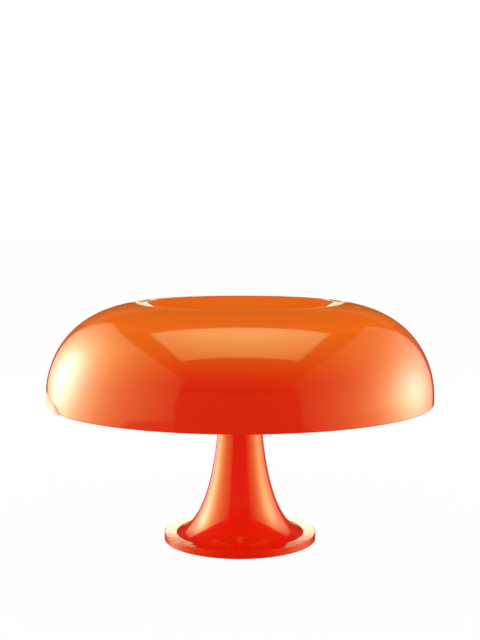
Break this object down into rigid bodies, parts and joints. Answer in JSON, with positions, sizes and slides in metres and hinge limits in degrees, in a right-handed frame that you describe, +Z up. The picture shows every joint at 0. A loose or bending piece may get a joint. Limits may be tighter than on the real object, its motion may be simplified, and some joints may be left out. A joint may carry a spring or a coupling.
{
  "type": "mushroom table lamp",
  "caption": "Glossy moulded-plastic table lamp: wide mushroom shade with a dished crown on a trumpet stem with a disc foot; head lifts off, bulbs pull out.",
  "frame": {"origin": "on the table, under the middle of the foot", "axes": "+Z up along the stem; the cable leaves the foot towards +Y; the view in the picture is along +Y"},
  "size_m": [0.54, 0.54, 0.3381],
  "materials": {
    "orange_plastic": "gloss moulded ABS",
    "cast_iron": "painted casting",
    "steel": "zinc plated",
    "cover_black": "fine texture",
    "rubber": "matt",
    "cast_aluminium": "as cast",
    "white_thermoplastic": "satin",
    "brass": "bright",
    "lead_sheath": "matt sheath",
    "opal_glass": "opal",
    "black_glass": "fired",
    "plated_cap": "bright, ribbed",
    "solder": "dull"
  },
  "bodies": {
    "stand": {"foot_and_stem": "orange_plastic", "base_weight": "cast_iron", "base_cover": "cover_black", "cover_screws": "steel", "rubber_pads": "rubber", "cable_grommet": "rubber", "cord_clamp": "white_thermoplastic", "clamp_screws": "steel", "threaded_tube": "steel", "lower_washer": "steel", "lower_nut": "steel", "cluster_body": "cast_aluminium", "cluster_washer": "steel", "cluster_nut": "steel", "cluster_lid": "cast_aluminium", "lid_screws": "steel", "terminal_block": "white_thermoplastic", "terminal_screws": "brass", "block_screw": "steel", "holder_leads": "lead_sheath", "holder_nipples": "steel", "holder_nuts": "steel", "socket_sleeves": "brass", "centre_contacts": "brass", "lampholder_1": "white_thermoplastic", "lampholder_2": "white_thermoplastic", "lampholder_3": "white_thermoplastic", "lampholder_4": "white_thermoplastic"},
    "head": {"upper_funnel": "orange_plastic", "shade": "orange_plastic"},
    "bulb_1": {"bulb_1_globe": "opal_glass", "bulb_1_cap": "plated_cap", "bulb_1_insulator": "black_glass", "bulb_1_contact": "solder"},
    "bulb_2": {"bulb_2_globe": "opal_glass", "bulb_2_cap": "plated_cap", "bulb_2_insulator": "black_glass", "bulb_2_contact": "solder"},
    "bulb_3": {"bulb_3_globe": "opal_glass", "bulb_3_cap": "plated_cap", "bulb_3_insulator": "black_glass", "bulb_3_contact": "solder"},
    "bulb_4": {"bulb_4_globe": "opal_glass", "bulb_4_cap": "plated_cap", "bulb_4_insulator": "black_glass", "bulb_4_contact": "solder"}
  },
  "joints": [
    {"name": "head_lift", "type": "slide", "parent": "stand", "child": "head", "axis": [0, 0, 1], "range_m": [0, 0.15]},
    {"name": "bulb_1_out", "type": "slide", "parent": "stand", "child": "bulb_1", "axis": [1, 0, 0], "range_m": [0, 0.03]},
    {"name": "bulb_2_out", "type": "slide", "parent": "stand", "child": "bulb_2", "axis": [0, 1, 0], "range_m": [0, 0.03]},
    {"name": "bulb_3_out", "type": "slide", "parent": "stand", "child": "bulb_3", "axis": [-1, 0, 0], "range_m": [0, 0.03]},
    {"name": "bulb_4_out", "type": "slide", "parent": "stand", "child": "bulb_4", "axis": [0, -1, 0], "range_m": [0, 0.03]}
  ]
}
